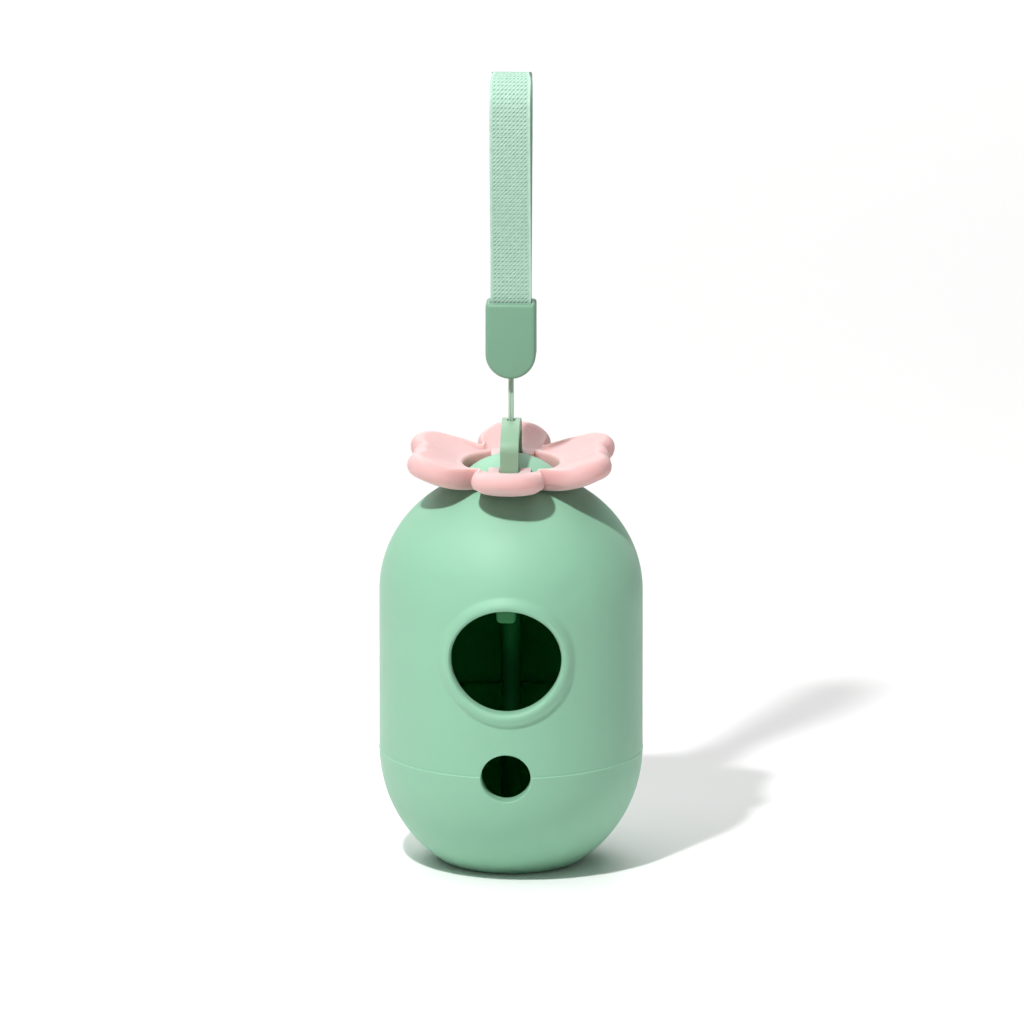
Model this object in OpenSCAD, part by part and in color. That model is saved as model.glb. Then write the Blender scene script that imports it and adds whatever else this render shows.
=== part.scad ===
// Capsule-shaped dispenser for rolls of waste bags, with a flower collar and a wrist strap.
// Millimetres, +Z up, the window faces -Y, and the origin is the centre of the flat base.

/* [Capsule] */
// Outer diameter of the capsule
body_d = 52; // [48:0.5:56]
// Wall thickness of the shell and the cap
wall = 2; // [1.6:0.1:2.2]
// Height of the parting line above the floor
seam_z = 22.9; // [20:0.1:26]
// Straight height of the shell above the parting line
side_h = 31.8; // [30:0.2:40]
// Height of the dome above the straight side
dome_h = 23.9; // [22:0.1:26]
// Diameter of the flat base
base_d = 26.8; // [22:0.2:30]
// Hairline gap that shows at the parting line
seam_gap = 0.1; // [0.05:0.05:0.2]

/* [Boss on the dome] */
// Diameter of the raised boss that the flower goes round
boss_d = 17.4; // [16.6:0.1:17.8]
// Height of the boss above the top of the dome
boss_rise = 3.5; // [3:0.1:4]
// Radius of the boss's crown
boss_crown_r = 12.8; // [12:0.2:16]

/* [Window] */
// Width of the window
window_w = 21.8; // [18:0.2:23]
// Height of the window
window_h = 20.7; // [18:0.1:22]
// Height of the window's centre above the parting line
window_up = 23.4; // [22.5:0.1:24]
// Width of the raised rim round the window
rim_w = 2.6; // [2:0.1:3]
// Height of the raised rim
rim_h = 1; // [0.6:0.1:1.2]
// Diameter of the small hole on the parting line
tail_hole_d = 9.8; // [8:0.1:11]

/* [Cap fit] */
// Height of the cap's collar inside the shell
collar_h = 7; // [6:0.2:8]
// Wall thickness of the collar
collar_t = 1.9; // [1.5:0.1:2]
// Radial running clearance of the collar and of the spindle's tip
run_gap = 0.06; // [0.05:0.01:0.08]
// Height of the ledge below the parting line that joins the collar to the wall
ledge_h = 3; // [2:0.2:4]
// Width of the key that lines the cap up with the shell
key_w = 3; // [2:0.2:5]
// Height of the key above the collar
key_t = 0.8; // [0.5:0.1:1]
// Clearance round the key
key_gap = 0.15; // [0.1:0.05:0.2]

/* [Spindle] */
// Diameter of the spindle
spindle_d = 3.8; // [3:0.1:5]
// Depth of the spindle's seat in the cap
seat_h = 6; // [4:0.5:8]
// Wall thickness of the seat and of the tip's guide
seat_t = 1.5; // [1.2:0.1:2]
// Depth of the guide for the tip, below the inside of the boss
guide_h = 9; // [7:0.5:11]
// Free end play above the tip
tip_play = 1; // [0.5:0.1:2]
// Radial clearance of the spindle's foot, which is pressed home
press_gap = 0.02; // [0.01:0.01:0.03]

/* [Roll rib] */
// Width of the rib inside the front wall
rib_w = 3.8; // [3:0.2:5]
// Depth of the rib from the inside of the wall
rib_t = 1.8; // [1.2:0.1:2.4]
// How far the rib's end hangs below the window's top edge
rib_hang = 2.9; // [2:0.1:4]

/* [Flower] */
// Bore of the flower's ring
ring_bore_d = 19; // [18.8:0.1:20]
// Height of the ring's top below the top of the boss
ring_drop = 1.3; // [1:0.1:1.6]
// Clearance between the flower and the dome
soft_gap = 0.1; // [0.1:0.05:0.2]
// Distance of a side petal's lobe centres from the axis, along X
lobe_x = 13.8; // [12:0.1:15]
// Distance of a side petal's lobe centres from its middle line
lobe_y = 7.6; // [7:0.1:8.2]
// Radius of a side petal's lobes
lobe_r = 6.4; // [6:0.1:7]
// Distance of the disc between a side petal's lobes from the axis
middle_x = 11.5; // [10.6:0.1:12]
// Radius of this disc
middle_r = 8.1; // [7.4:0.1:8.4]
// Distance of the front and back petals' centres from the axis
petal_y = 15; // [14:0.1:16]
// Half of the distance between the two end circles of these petals
petal_x = 0.6; // [0.4:0.1:1.4]
// Radius of these petals' ends
petal_r = 6.7; // [6.2:0.1:7]
// Width of the flower's ring between the petals
ring_w = 2.4; // [2:0.1:3]
// How far a crest with the full lift stands above the ring
cup_rise = 3.1; // [2:0.1:4]
// Distance from the axis at which a rim has its full lift
lift_reach = 22.6; // [22:0.1:24]
// Thickness of the petals at their rims
petal_t = 4.5; // [4:0.1:5.2]
// Thickness of the rim between the petals
notch_t = 2.4; // [2:0.1:3]
// Radius of the petals' round rims, seen from above
rim_round = 2.2; // [1.8:0.1:2.6]
// How far the petals' undersides belly down
belly = 0.2; // [0:0.1:0.6]
// Lean of the petals' rims away from the upright, in degrees
rim_lean = 29; // [0:1:45]
// Width of a tongue, across both prongs
tongue_w = 8.4; // [8:0.1:9]
// Thickness of a tongue
tongue_t = 1.6; // [1.4:0.1:1.8]
// Distance of the prongs' ends from the axis
tongue_end = 5.5; // [5.4:0.1:5.8]

/* [Arch] */
// Width of the arch
arch_w = 3.8; // [3.4:0.1:4.2]
// Outer span of the arch, front to back
arch_span = 18.2; // [17.8:0.1:18.4]
// Thickness of the arch
arch_t = 2.3; // [2:0.1:2.4]
// Height of the crest above the top of the boss
arch_rise = 7; // [6.8:0.1:9]
// Radius of the arch's top
arch_top_r = 14; // [12:0.2:16]
// Outer corner radius where the legs meet the top
arch_corner_r = 1.6; // [1.2:0.1:2]
// Clearance round the legs in their slots
leg_gap = 0.1; // [0.1:0.05:0.15]
// Height of the barbs on the legs
barb_h = 2.6; // [2:0.1:3]
// How far the barbs stand out under the dome
barb_out = 0.8; // [0.5:0.1:0.9]

/* [Strap] */
// Diameter of one strand of the cord
strand_d = 0.56; // [0.5:0.02:0.6]
// Distance between the centres of the two strands
strand_pitch = 0.6; // [0.6:0.02:0.7]
// Diameter of the cord's hole in the arch
cord_hole_d = 1.8; // [1.6:0.1:2]
// Diameter of the stopper knot
knot_d = 3; // [2.6:0.1:3.2]
// Free length of the cord between the arch and the ferrule
cord_free = 8.9; // [7:0.1:12]
// Width of the ferrule
ferrule_w = 9.9; // [9.8:0.1:12]
// Depth of the ferrule, front to back
ferrule_d = 6; // [5.6:0.1:7]
// Height of the ferrule
ferrule_h = 15.2; // [14.5:0.1:18]
// Side wall of the ferrule's cavity
ferrule_side_t = 0.8; // [0.7:0.1:0.8]
// Front and back wall of the ferrule's cavity
ferrule_face_t = 1; // [0.8:0.1:1.1]
// Width of the webbing
webbing_w = 8; // [7.6:0.1:8]
// Thickness of the webbing
webbing_t = 1.1; // [0.9:0.1:1.2]
// Height of the loop above the ferrule
loop_h = 46.3; // [40:0.1:60]
// Greatest depth of the loop, front to back
loop_d = 12.5; // [10:0.5:16]
// Length of the webbing's tails inside the ferrule
tail_h = 8.6; // [7:0.2:9]
// Diameter of the sewing thread's stitches
stitch_d = 0.5; // [0.4:0.05:0.6]
// Distance between the stitches across the webbing
stitch_pitch = 2.2; // [2:0.1:2.4]

/* [Hidden] */

$fn = 96;
green = [0.58, 0.80, 0.68];
pink = [0.95, 0.77, 0.76];
strap_green = [0.66, 0.82, 0.74];
cut = 0.5;              // how far a cutting solid runs past the surface that it cuts
profile_steps = 24;     // steps along the curved part of a turned profile
body_r = body_d / 2;
dome_z = seam_z + side_h;                    // where the dome starts
dome_top = dome_z + dome_h;
boss_top = dome_top + boss_rise;
boss_r = boss_d / 2;
crown_z = boss_top - boss_crown_r;           // centre of the boss's crown
base_r = base_d / 2;
// depth of the rounded bottom, had it not been cut flat at the floor
bottom_h = seam_z / sqrt(1 - pow(base_r / body_r, 2));
bore_r = body_r - wall;                      // inside of the shell
collar_r = bore_r - run_gap;
window_z = seam_z + window_up;
spindle_r = spindle_d / 2;
roof_z = boss_top - wall;                    // inside of the boss at the axis
spindle_top = roof_z - tip_play;
ring_r = ring_bore_d / 2;
ring_top = boss_top - ring_drop;
tongue_z = ring_top - tongue_t;
arch_top = boss_top + arch_rise;
arch_z = arch_top - arch_top_r;              // centre of the arch's top curve
leg_y = arch_span / 2;
hinge_gap = strand_d / 2 + 0.02;             // the cord's bend above the arch
ferrule_z = arch_top + cord_free;            // lowest point of the ferrule
ferrule_r = ferrule_w / 2;
ferrule_top = ferrule_z + ferrule_h;
// the cord's bend below the ferrule, half of the double cord's width and a hair away
sway_gap = (strand_pitch + strand_d) / 2 + 0.02;
tail_y = strand_d / 2 + 0.1 + webbing_t / 2; // middle of a tail inside the ferrule
tail_z = ferrule_top - tail_h;
loop_top = ferrule_top + loop_h;

// height of an ellipse with half axes a and b at the distance r from its middle
function ellipse_h(a, b, r) = b * sqrt(max(0, 1 - pow(r / a, 2)));
function dome_out(r) = dome_z + ellipse_h(body_r, dome_h, r);
function dome_in(r) = dome_z + ellipse_h(bore_r, dome_h - wall, r);
function arc(cx, cy, r, from, to, n) =
    [for (i = [0 : n]) let (a = from + (to - from) * i / n) [cx + r * cos(a), cy + r * sin(a)]];
function mirrored(points) = [for (i = [len(points) - 1 : -1 : 0]) [-points[i][0], points[i][1]]];

// Turned outline of the dome: half axes a and b, from the straight side to the axis
function dome_profile(a, b) =
    [for (i = [0 : profile_steps]) let (t = 90 * i / profile_steps) [a * cos(t), dome_z + b * sin(t)]];

// Turned outline of the bottom, from the flat at the height z0 up to the parting line
function bottom_profile(a, b, z0) =
    let (t0 = asin((seam_z - z0) / b), t1 = asin(seam_gap / 2 / b))
    [for (i = [0 : profile_steps])
        let (t = t0 + (t1 - t0) * i / profile_steps) [a * cos(t), seam_z - b * sin(t)]];

// Cutting solid of the window, through the front wall
module window_cut() {
    steps = 64;
    translate([0, -bore_r / 2, window_z])
        rotate([90, 0, 0])
            linear_extrude(body_r)
                polygon([for (i = [0 : steps - 1])
                    let (a = i * 360 / steps) [window_w / 2 * cos(a), window_h / 2 * sin(a)]]);
}

// Bore of the small hole, half in the shell and half in the cap
module tail_hole() {
    translate([0, -bore_r / 2, seam_z])
        rotate([90, 0, 0])
            cylinder(d = tail_hole_d, h = body_r);
}

// Radius of the shell's skin at a height
function skin_r(z) = z < dome_z ? body_r : ellipse_h(dome_h, body_r, z - dome_z);

// Rounded rim round the window: one outline is carried round the window, on the shell's own curve
module window_rim() {
    steps = 56;
    // each entry is the share of the rim's width and the height above the body
    outline = [[-0.2, -wall / 2], [-0.2, rim_h * 0.3], [0, rim_h * 0.55], [0.2, rim_h * 0.9],
               [0.4, rim_h], [0.6, rim_h * 0.82], [0.8, rim_h * 0.4], [1, 0.02], [1.1, -wall / 2]];
    m = len(outline);
    points = [for (i = [0 : steps - 1], p = outline)
        let (a = i * 360 / steps,
             x = (window_w / 2 + p[0] * rim_w) * cos(a),
             z = (window_h / 2 + p[0] * rim_w) * sin(a))
        [x, -sqrt(pow(skin_r(window_z + z) + p[1], 2) - x * x), window_z + z]];
    faces = [for (i = [0 : steps - 1], j = [0 : m - 1], half = [0, 1])
        let (k = (i + 1) % steps, l = (j + 1) % m)
        half == 0 ? [i * m + j, k * m + l, i * m + l] : [i * m + j, k * m + j, k * m + l]];
    polyhedron(points, faces);
}

// The shell's solid form: straight side, dome and boss
module shell_outside() {
    rotate_extrude()
        polygon(concat([[0, seam_z + seam_gap / 2], [body_r, seam_z + seam_gap / 2]],
                       dome_profile(body_r, dome_h)));
    rotate_extrude()
        polygon(concat([[0, dome_z]],
                       [[boss_r, dome_z]],
                       arc(0, crown_z, boss_crown_r, acos(boss_r / boss_crown_r), 90, 12)));
}

module shell_inside() {
    rotate_extrude()
        polygon(concat([[0, seam_z - cut], [bore_r, seam_z - cut]],
                       dome_profile(bore_r, dome_h - wall)));
}

// Guide for the spindle's tip, hanging from the inside of the dome
module tip_guide() {
    translate([0, 0, roof_z - guide_h])
        cylinder(r = spindle_r + run_gap + seat_t, h = guide_h);
}

// Short rib inside the front wall, from the dome down to the window's top edge
module roll_rib() {
    end_z = window_z + window_h / 2 - rib_hang;
    top_z = dome_in(bore_r - rib_t) + wall;
    corner = rib_w / 4;
    intersection() {
        translate([0, -bore_r + rib_t, 0])
            rotate([90, 0, 0])
                linear_extrude(rib_t + wall / 4)
                    union() {
                        translate([-rib_w / 2, end_z + corner])
                            square([rib_w, top_z - end_z - corner]);
                        translate([-rib_w / 2 + corner, end_z])
                            square([rib_w - 2 * corner, 2 * corner]);
                        for (side = [-1, 1])
                            translate([side * (rib_w / 2 - corner), end_z + corner])
                                circle(r = corner, $fn = 32);
                    }
        // the middle of the wall, which the rib stays inside
        rotate_extrude()
            polygon(concat([[0, seam_z], [body_r - wall / 2, seam_z]],
                           dome_profile(body_r - wall / 2, dome_h - wall / 2)));
    }
}

module body_shell() {
    color(green)
        difference() {
            union() {
                difference() {
                    union() {
                        shell_outside();
                        window_rim();
                    }
                    shell_inside();
                    // slot for the cap's key
                    translate([-key_w / 2 - key_gap, bore_r - cut, seam_z - cut])
                        cube([key_w + 2 * key_gap, cut + key_t + key_gap - run_gap,
                              collar_h + cut + key_gap]);
                    window_cut();
                }
                tip_guide();
                roll_rib();
            }
            tail_hole();
            translate([0, 0, seam_z])
                cylinder(r = spindle_r + run_gap, h = roof_z - seam_z);
            for (side = [-1, 1]) {
                // recess for the flower's tongue
                translate([-tongue_w / 2 - 2 * soft_gap, side > 0 ? tongue_end - 2 * soft_gap : -body_r,
                           tongue_z - soft_gap])
                    cube([tongue_w + 4 * soft_gap, body_r - tongue_end + 2 * soft_gap, body_r]);
                // slot for a leg of the arch
                translate([-arch_w / 2 - leg_gap, side * (leg_y - arch_t / 2) - arch_t / 2 - leg_gap, dome_z])
                    cube([arch_w + 2 * leg_gap, arch_t + 2 * leg_gap, dome_h + boss_rise]);
            }
        }
}

module bottom_cap() {
    color(green)
        difference() {
            union() {
                difference() {
                    rotate_extrude()
                        polygon(concat([[0, 0]], bottom_profile(body_r, bottom_h, 0),
                                       [[0, seam_z - seam_gap / 2]]));
                    rotate_extrude()
                        polygon(concat([[0, wall]], bottom_profile(bore_r, bottom_h - wall, wall),
                                       [[bore_r, seam_z + cut], [0, seam_z + cut]]));
                }
                // collar, which runs down into the cap's wall
                intersection() {
                    translate([0, 0, wall])
                        difference() {
                            cylinder(r = collar_r, h = seam_z + collar_h - wall);
                            translate([0, 0, -cut])
                                cylinder(r = collar_r - collar_t, h = seam_z + collar_h);
                        }
                    rotate_extrude()
                        polygon(concat([[0, wall / 2]],
                                       bottom_profile(body_r - wall / 2, bottom_h - wall / 2, wall / 2),
                                       [[body_r - wall / 2, seam_z + body_r], [0, seam_z + body_r]]));
                }
                // ledge that joins the collar to the wall at the parting line
                difference() {
                    translate([0, 0, seam_z - ledge_h])
                        cylinder(r = bore_r + wall / 4, h = ledge_h - seam_gap / 2);
                    cylinder(r = collar_r - collar_t, h = 2 * seam_z);
                }
                // key at the back
                translate([-key_w / 2, collar_r - cut, seam_z - wall])
                    cube([key_w, cut + key_t, collar_h + wall - key_gap]);
                // seat of the spindle
                translate([0, 0, wall / 2])
                    cylinder(r = spindle_r + press_gap + seat_t, h = seat_h + wall / 2);
            }
            translate([0, 0, wall])
                cylinder(r = spindle_r + press_gap, h = seat_h + cut);
            tail_hole();
        }
}

module spindle() {
    tip_r = spindle_r * 0.6;
    chamfer = spindle_r - tip_r;
    color(green) {
        translate([0, 0, wall])
            cylinder(r = spindle_r, h = spindle_top - wall - chamfer);
        translate([0, 0, spindle_top - chamfer])
            cylinder(r1 = spindle_r, r2 = tip_r, h = chamfer, $fn = 48);
    }
}

// distance from the axis to the far side of a circle, along the direction a, or 0 past it
function ray_circle(a, x, y, r) =
    let (along = x * cos(a) + y * sin(a), off = x * sin(a) - y * cos(a))
    abs(off) < r && along > 0 ? along + sqrt(r * r - off * off) : 0;

// outline of the flower at the angle a, as a distance from the axis
function petal_reach(a) =
    let (lobes = [for (sx = [-1, 1], sy = [-1, 1]) ray_circle(a, sx * lobe_x, sy * lobe_y, lobe_r)],
         tips = [for (sx = [-1, 1], sy = [-1, 1]) ray_circle(a, sx * petal_x, sy * petal_y, petal_r)],
         middles = [for (sx = [-1, 1]) ray_circle(a, sx * middle_x, 0, middle_r)])
    max(concat(lobes, tips, middles, [ring_r + ring_w]));

// the same outline with its steps and notches softened over a few degrees
function soft_reach(a) =
    let (spread = 1.5, weights = [1, 2, 3, 2, 1])
    [for (i = [-2 : 2]) petal_reach(a + i * spread)] * weights / 9;

// share of the petals' full lift at a rim that reaches this far: 0 at the ring, 1 at the full lift
function lift(reach) =
    let (share = (reach - ring_r - ring_w) / (lift_reach - ring_r - ring_w), curve = 0.8)
    pow(min(1, max(0, share)), curve);

// A flower with four cupped petals: outlines are carried round the axis and closed over thick, round rims
module flower_body() {
    steps = 96;
    across = 6;         // points between the ring and the rim, on each side
    round_n = 6;        // steps round the rim
    edge = 0.7;         // corner size at the bore
    round_share = 0.4;  // share of a narrow rim's width that its rounding takes
    flat_w = 1;         // width of the ring's flat top
    cup_curve = 1.6;    // how late the petals' faces rise
    belly_curve = 2.3;  // how late their undersides rise
    seat = dome_out(ring_r) + soft_gap;
    inner = ring_r + edge;
    // share of the way from the ring's flat to the distance end
    function along(r, end) = max(0, r - ring_r - flat_w) / max(edge / 10, end - ring_r - flat_w);
    function section(a) =
        let (reach = soft_reach(a),
             share = lift(reach),
             rim_r = min(rim_round, (reach - ring_r) * round_share),
             rim = reach - rim_r,
             half_t = (notch_t + (petal_t - notch_t) * share) / 2,
             mid = ring_top + cup_rise * share - half_t,
             lean = rim_lean * share,
             top_end = [rim - rim_r * sin(lean), mid + half_t * cos(lean)],
             low_end = [rim + rim_r * sin(lean), mid - half_t * cos(lean)])
        concat(
            [[ring_r, seat + edge / 2], [ring_r, ring_top - edge]],
            [for (i = [0 : across])
                let (r = inner + (top_end[0] - inner) * i / across)
                [r, ring_top + (top_end[1] - ring_top) * pow(along(r, top_end[0]), cup_curve)]],
            [for (i = [1 : round_n - 1])
                let (t = 90 + lean - 180 * i / round_n)
                [rim + rim_r * cos(t), mid + half_t * sin(t)]],
            [for (i = [across : -1 : 0])
                let (r = inner + (low_end[0] - inner) * i / across, s = along(r, low_end[0]))
                [r, seat + (low_end[1] - seat) * pow(s, belly_curve) - belly * share * 4 * s * (1 - s)]]);
    m = len(section(0));
    points = [for (i = [0 : steps - 1]) let (a = i * 360 / steps)
        for (p = section(a)) [p[0] * cos(a), p[0] * sin(a), p[1]]];
    faces = [for (i = [0 : steps - 1], j = [0 : m - 1], half = [0, 1])
        let (k = (i + 1) % steps, l = (j + 1) % m)
        half == 0 ? [i * m + j, k * m + l, i * m + l] : [i * m + j, k * m + j, k * m + l]];
    polyhedron(points, faces);
}

module flower_collar() {
    slot_w = arch_w + 2 * leg_gap;
    prong_w = (tongue_w - slot_w) / 2;
    color(pink)
        difference() {
            union() {
                flower_body();
                for (side = [-1, 1], prong = [-1, 1])
                    translate([prong * (slot_w + prong_w) / 2 - prong_w / 2,
                               side > 0 ? tongue_end : -ring_r - ring_w / 2, tongue_z])
                        cube([prong_w, ring_r + ring_w / 2 - tongue_end, tongue_t]);
            }
            // way for the arch's legs past the ring
            for (side = [-1, 1])
                translate([-slot_w / 2, side * (leg_y - arch_t / 2) - arch_t / 2 - leg_gap, dome_z])
                    cube([slot_w, arch_t + 2 * leg_gap, body_r * 2]);
        }
}

// Outline of half an arch with the half span w, the top radius r and the corner radius c, from the crest
// down the corner to the leg
function arch_half(w, r, c) =
    let (corner_z = arch_z + sqrt(pow(r - c, 2) - pow(w - c, 2)),
         t = atan2(corner_z - arch_z, w - c))
    concat(arc(0, arch_z, r, 90, t, 12), arc(w - c, corner_z, c, t, 0, 6));

module hanging_bail() {
    inner_w = leg_y - arch_t;
    catch_z = dome_in(leg_y + barb_out) - leg_gap;
    tip_z = catch_z - barb_h;
    outer = concat(arch_half(leg_y, arch_top_r, arch_corner_r),
                   [[leg_y, catch_z], [leg_y + barb_out, catch_z], [leg_y + barb_out, catch_z - barb_h / 4],
                    [leg_y - arch_t / 3, tip_z], [inner_w, tip_z]]);
    inner = arch_half(inner_w, arch_top_r - arch_t, arch_corner_r / 2);
    half = concat(outer, [for (i = [len(inner) - 1 : -1 : 0]) inner[i]]);
    color(green)
        difference() {
            rotate([90, 0, 90])
                translate([0, 0, -arch_w / 2])
                    linear_extrude(arch_w)
                        union() {
                            polygon(half);
                            polygon(mirrored(half));
                        }
            translate([0, 0, boss_top])
                cylinder(d = cord_hole_d, h = arch_rise + cut, $fn = 48);
        }
}

module strands(z0, z1) {
    for (side = [-1, 1])
        translate([side * strand_pitch / 2, 0, z0])
            cylinder(d = strand_d, h = z1 - z0, $fn = 24);
}

// Stopper knot below the crest, with the strands in the hole
module cord_knot() {
    knot_z = arch_top - arch_t - soft_gap - knot_d / 2;
    color(strap_green) {
        translate([0, 0, knot_z])
            sphere(d = knot_d, $fn = 48);
        strands(knot_z, arch_top);
    }
}

module strap_cord() {
    color(strap_green)
        strands(arch_top + hinge_gap, ferrule_z - sway_gap);
}

// Bight of the cord between the webbing's tails
module cord_end() {
    bight_z = tail_z + tail_h * 0.75;
    color(strap_green) {
        strands(ferrule_z, bight_z);
        translate([0, 0, bight_z])
            rotate([90, 0, 0])
                rotate_extrude(angle = 180, $fn = 48)
                    translate([strand_pitch / 2, 0])
                        circle(d = strand_d, $fn = 24);
    }
}

module ferrule_outline(r) {
    translate([0, ferrule_z + ferrule_r])
        circle(r = r);
    translate([-r, ferrule_z + ferrule_r])
        square([2 * r, ferrule_h - ferrule_r]);
}

module ferrule() {
    pocket_d = ferrule_d - 2 * ferrule_face_t;
    pocket_w = ferrule_w - 2 * ferrule_side_t;
    color(green)
        difference() {
            translate([0, ferrule_d / 2, 0])
                rotate([90, 0, 0])
                    linear_extrude(ferrule_d)
                        ferrule_outline(ferrule_r);
            translate([-pocket_w / 2, -pocket_d / 2, tail_z - soft_gap])
                cube([pocket_w, pocket_d, tail_h + soft_gap + cut]);
            translate([0, 0, ferrule_z - cut])
                cylinder(r = sway_gap, h = ferrule_h, $fn = 48);
        }
}

// Middle line of the webbing's front half at the share u of its length: out of the ferrule, up in a
// slowly opening curve, and half way over the top
function loop_middle(u) =
    let (half_d = (loop_d - webbing_t) / 2,
         turn_z = loop_top - webbing_t / 2 - half_d,
         rise_share = 0.8)
    u < rise_share
        ? let (t = u / rise_share, s = max(0, (t * (turn_z - tail_z) - tail_h) / (turn_z - tail_z - tail_h)))
            [tail_y + (half_d - tail_y) * s * s * (3 - 2 * s), tail_z + t * (turn_z - tail_z)]
        : let (a = 90 * (u - rise_share) / (1 - rise_share))
            [half_d * cos(a), turn_z + half_d * sin(a)];
function loop_side(u, side) =
    let (h = 0.001, p = loop_middle(max(0, u - h)), q = loop_middle(min(1, u + h)),
         d = (q - p) / norm(q - p))
    loop_middle(u) + side * webbing_t / 2 * [d[1], -d[0]];

module webbing_loop() {
    n = 50;
    outside = [for (i = [0 : n]) loop_side(i / n, 1)];
    inside = [for (i = [n : -1 : 0]) loop_side(i / n, -1)];
    color(strap_green)
        difference() {
            rotate([90, 0, 90])
                translate([0, 0, -webbing_w / 2])
                    linear_extrude(webbing_w)
                        union() {
                            polygon(concat(outside, inside));
                            polygon(mirrored(concat(outside, inside)));
                        }
            stitches(stitch_d + 2 * press_gap, cut);
        }
}

// Two rows of stitches through both tails
module stitches(d, extra) {
    reach = tail_y + webbing_t / 2 + extra;
    for (column = [-1, 1], row = [1, 2])
        translate([column * stitch_pitch, reach, tail_z + row * tail_h / 4])
            rotate([90, 0, 0])
                cylinder(d = d, h = 2 * reach, $fn = 24);
}

module strap_stitching() {
    color(strap_green)
        stitches(stitch_d, 0.1);
}

body_shell();
bottom_cap();
spindle();
flower_collar();
hanging_bail();
cord_knot();
strap_cord();
cord_end();
ferrule();
webbing_loop();
strap_stitching();
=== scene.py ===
from math import acos, asin, atan2, cos, degrees, hypot, pi, radians, sin, sqrt

import bmesh
import bpy
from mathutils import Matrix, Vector


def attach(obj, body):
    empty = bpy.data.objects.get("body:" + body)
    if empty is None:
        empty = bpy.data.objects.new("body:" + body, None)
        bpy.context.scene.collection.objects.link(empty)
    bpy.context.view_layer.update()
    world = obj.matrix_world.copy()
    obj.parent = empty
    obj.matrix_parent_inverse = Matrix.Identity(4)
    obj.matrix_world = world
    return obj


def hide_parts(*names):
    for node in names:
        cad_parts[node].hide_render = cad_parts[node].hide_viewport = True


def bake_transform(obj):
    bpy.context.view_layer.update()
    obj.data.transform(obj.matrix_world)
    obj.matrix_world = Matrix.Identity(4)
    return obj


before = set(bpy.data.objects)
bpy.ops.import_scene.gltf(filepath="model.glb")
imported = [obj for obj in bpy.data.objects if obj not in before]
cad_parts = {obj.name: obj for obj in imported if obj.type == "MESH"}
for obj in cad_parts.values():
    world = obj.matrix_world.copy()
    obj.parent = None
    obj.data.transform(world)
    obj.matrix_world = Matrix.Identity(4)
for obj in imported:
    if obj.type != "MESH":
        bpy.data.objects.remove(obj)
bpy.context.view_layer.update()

MM = 0.001          # every length below is in millimetres, as in the construction
HAIR = 1e-6         # corners closer than this are one, in metres

# Sizes repeated from the construction
BODY_R, BORE_R, WALL = 26.0, 24.0, 2.0
SEAM_Z, SEAM_GAP = 22.9, 0.1
DOME_Z, DOME_H = 54.7, 23.9
BASE_R, BOTTOM_H = 13.4, 26.72
BOSS_R, BOSS_TOP, CROWN_R = 8.7, 82.1, 12.8
CROWN_Z = BOSS_TOP - CROWN_R
WINDOW_A, WINDOW_B, WINDOW_Z = 10.9, 10.35, 46.3
HOLE_R = 4.9
COLLAR_R, COLLAR_IN, COLLAR_TOP, KEY_HALF = 23.94, 22.04, 29.9, 1.5
SPINDLE_R, SPINDLE_LOW, SPINDLE_TOP = 1.9, 2.0, 79.1
RING_R, RING_OUT, RING_TOP = 9.5, 11.9, 80.8
ARCH_W, ARCH_TOP, ARCH_OUT, ARCH_IN = 3.6, 89.1, 14.0, 11.7
ARCH_CENTRE_Z = ARCH_TOP - ARCH_OUT
LEG_IN, LEG_OUT, LEG_GAP = 6.8, 9.1, 0.1
FERRULE_Z, FERRULE_TOP, FERRULE_R, FERRULE_D = 98.0, 113.2, 4.95, 6.0
STRAND_D = 0.56
WEB_W, WEB_T = 8.0, 1.1
TAIL_Z, TAIL_Y = 104.6, 0.93
TURN_Z, LOOP_HALF_D = 153.25, 5.7

# Sizes of the looks alone
HOLE_Z = SEAM_Z - 0.25
STRAND_PITCH, TWIST_LAY = 0.50, 2.4
WEAVE_ACROSS, WEAVE_ALONG = 0.77, 0.85     # width and height of one crossing of the weave
CLEAR_Z = 95.0      # above all that the cutters have to pass through


# Modelling helpers
def v3(x, y, z):
    return Vector((x, y, z)) * MM


def deselect():
    if bpy.context.object and bpy.context.object.mode != "OBJECT":
        bpy.ops.object.mode_set(mode="OBJECT")
    bpy.ops.object.select_all(action="DESELECT")


def pick(obj):
    """This object alone is selected and active."""
    deselect()
    obj.select_set(True)
    bpy.context.view_layer.objects.active = obj


def edit(obj, mode="VERT"):
    """Opens the object in edit mode with nothing selected, and returns its mesh there."""
    pick(obj)
    bpy.ops.object.mode_set(mode="EDIT")
    bpy.ops.mesh.select_mode(type=mode)
    bpy.ops.mesh.select_all(action="DESELECT")
    return bmesh.from_edit_mesh(obj.data)


def edit_all(obj, mode="VERT"):
    """Opens the object in edit mode with everything selected."""
    edit(obj, mode)
    bpy.ops.mesh.select_all(action="SELECT")


def choose(obj, mode, rule):
    """Selects the corners, edges or faces for which the rule holds."""
    mesh = edit(obj, mode)
    kind = {"VERT": mesh.verts, "EDGE": mesh.edges, "FACE": mesh.faces}[mode]
    for part in kind:
        part.select = bool(rule(part))
    mesh.select_flush_mode()
    bmesh.update_edit_mesh(obj.data)


def place_chosen(obj, rule):
    """Moves each selected corner to where the rule puts it; the rule works in millimetres."""
    mesh = bmesh.from_edit_mesh(obj.data)
    for corner in mesh.verts:
        if corner.select:
            corner.co = Vector(rule(*(corner.co / MM))) * MM
    bmesh.update_edit_mesh(obj.data)


def settle(obj):
    """Leaves edit mode and puts the object at the origin, with its place in its mesh."""
    pick(obj)
    bpy.ops.object.transform_apply(location=True, rotation=True, scale=True)


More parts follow.
